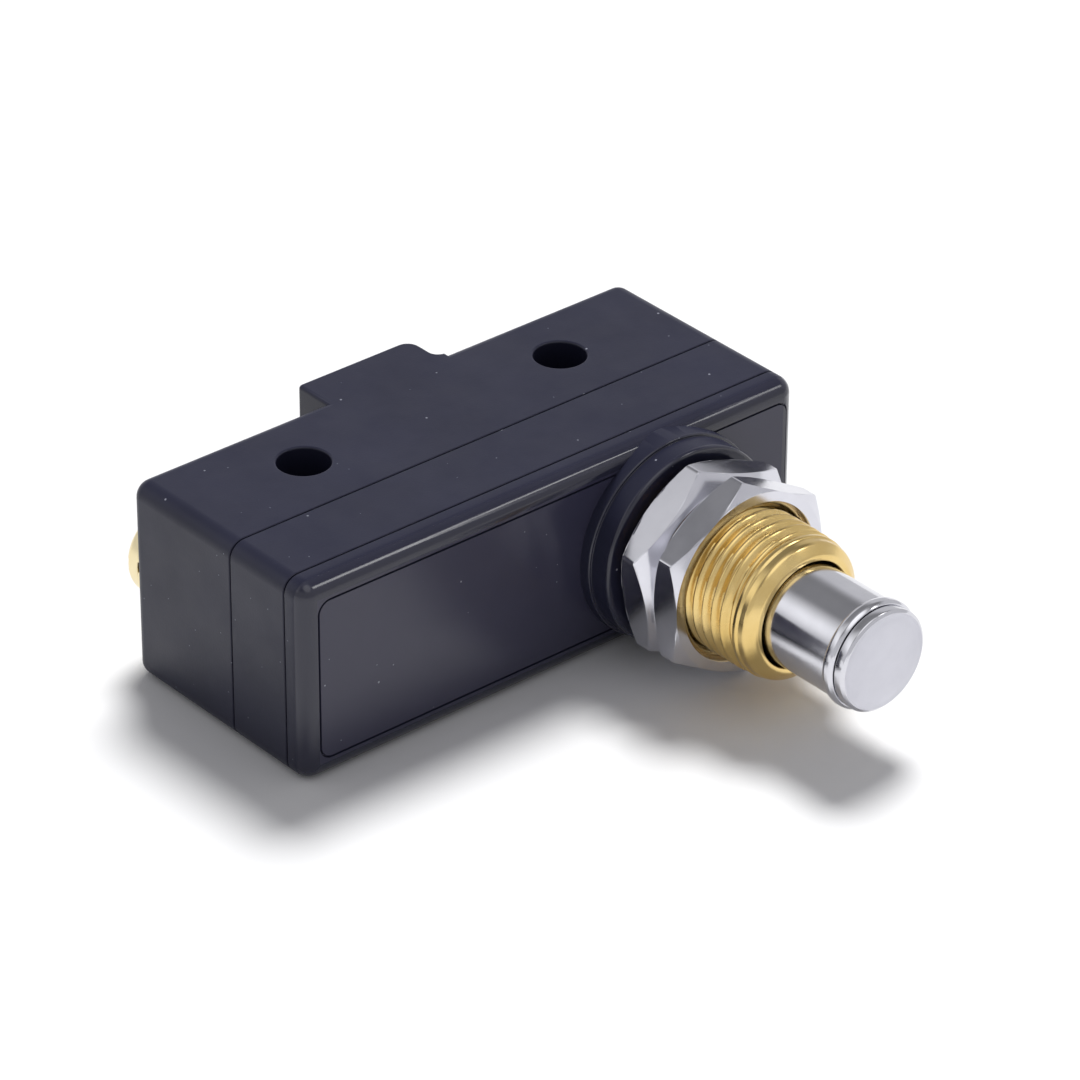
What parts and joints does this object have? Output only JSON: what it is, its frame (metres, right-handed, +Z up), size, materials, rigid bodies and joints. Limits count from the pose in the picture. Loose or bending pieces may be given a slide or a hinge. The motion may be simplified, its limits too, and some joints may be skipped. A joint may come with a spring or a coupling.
{
  "type": "limit switch",
  "caption": "Snap-action limit switch: flat moulded case with side mounting holes, screw terminals on its back and a plunger in a threaded brass bushing with panel nuts.",
  "frame": {"origin": "midway between the two mounting holes, on the lower side face of the case", "axes": "+X along the case towards the plunger's end, -Y the way the plunger points, +Z up through the mounting holes"},
  "size_m": [0.0488, 0.0515, 0.0171],
  "materials": {
    "phenolic": "dark blue-grey moulded thermoset, fine satin grain",
    "panel_plastic": "dark blue-grey moulded thermoset, half gloss",
    "brass": "bright machined brass",
    "nickel": "bright nickel plating",
    "steel": "polished stainless steel, satin end face",
    "spring_steel": "drawn spring wire",
    "red_nylon": "moulded nylon",
    "copper_alloy": "rolled beryllium copper strip",
    "silver": "silver contact alloy"
  },
  "bodies": {
    "case": {"case_base": "phenolic", "case_cover": "phenolic", "head_cap": "panel_plastic", "bushing": "brass", "return_spring": "spring_steel", "blade_rivet": "brass", "fixed_contact_nc": "silver", "fixed_contact_no": "silver", "terminal_com": "brass", "terminal_nc": "brass", "terminal_no": "brass"},
    "plunger": {"plunger_sleeve": "steel", "plunger_cap": "steel", "retaining_ring": "spring_steel", "overtravel_spring": "spring_steel"},
    "pusher": {"inner_pusher": "brass"},
    "pin": {"pin_plunger": "red_nylon"},
    "blade": {"snap_blade": "copper_alloy", "moving_contact": "silver"},
    "rear_nut": {"nut_rear": "nickel"},
    "front_nut": {"nut_front": "nickel"},
    "washer_com": {"screw_washer_com": "brass"},
    "screw_com": {"terminal_screw_com": "brass"},
    "washer_no": {"screw_washer_no": "brass"},
    "screw_no": {"terminal_screw_no": "brass"},
    "washer_nc": {"screw_washer_nc": "brass"},
    "screw_nc": {"terminal_screw_nc": "brass"}
  },
  "joints": [
    {"name": "plunger_slide", "type": "slide", "parent": "case", "child": "plunger", "axis": [0, 1, 0], "range_m": [0, 0.0062], "stiffness_N_per_m": 600, "springref_m": -0.0035, "deforming": ["return_spring", "overtravel_spring"]},
    {"name": "pusher_slide", "type": "slide", "parent": "case", "child": "pusher", "axis": [0, 1, 0], "range_m": [0, 0.00035]},
    {"name": "pin_slide", "type": "slide", "parent": "case", "child": "pin", "axis": [0, 1, 0], "range_m": [0, 0.00035]},
    {"name": "blade_swing", "type": "hinge", "parent": "case", "child": "blade", "pos_m": [-0.0165, -0.00688, 0.00855], "axis": [0, 0, 1], "range_deg": [0, 0.7]},
    {"name": "rear_nut_travel", "type": "slide", "parent": "case", "child": "rear_nut", "axis": [0, -1, 0], "range_m": [0, 0.004]},
    {"name": "front_nut_travel", "type": "slide", "parent": "rear_nut", "child": "front_nut", "axis": [0, -1, 0], "range_m": [0, 0.004]},
    {"name": "washer_com_lift", "type": "slide", "parent": "case", "child": "washer_com", "axis": [0, 1, 0], "range_m": [0, 0.0028]},
    {"name": "screw_com_turn", "type": "hinge", "parent": "washer_com", "child": "screw_com", "pos_m": [-0.0199, 0.0061, 0.00855], "axis": [0, 1, 0], "range_deg": [0, 1440]},
    {"name": "washer_no_lift", "type": "slide", "parent": "case", "child": "washer_no", "axis": [0, 1, 0], "range_m": [0, 0.0028]},
    {"name": "screw_no_turn", "type": "hinge", "parent": "washer_no", "child": "screw_no", "pos_m": [0, 0.0094, 0.00855], "axis": [0, 1, 0], "range_deg": [0, 1440]},
    {"name": "washer_nc_lift", "type": "slide", "parent": "case", "child": "washer_nc", "axis": [0, 1, 0], "range_m": [0, 0.0028]},
    {"name": "screw_nc_turn", "type": "hinge", "parent": "washer_nc", "child": "screw_nc", "pos_m": [0.0199, 0.0061, 0.00855], "axis": [0, 1, 0], "range_deg": [0, 1440]}
  ],
  "couplings": [
    {"joint": "pusher_slide", "follows": "plunger_slide", "ratio": 0.0556},
    {"joint": "pin_slide", "follows": "plunger_slide", "ratio": 0.0556},
    {"joint": "blade_swing", "follows": "plunger_slide", "rad_per_m": 1.95},
    {"joint": "screw_com_turn", "follows": "washer_com_lift", "rad_per_m": 8975.9},
    {"joint": "screw_no_turn", "follows": "washer_no_lift", "rad_per_m": 8975.9},
    {"joint": "screw_nc_turn", "follows": "washer_nc_lift", "rad_per_m": 8975.9}
  ]
}
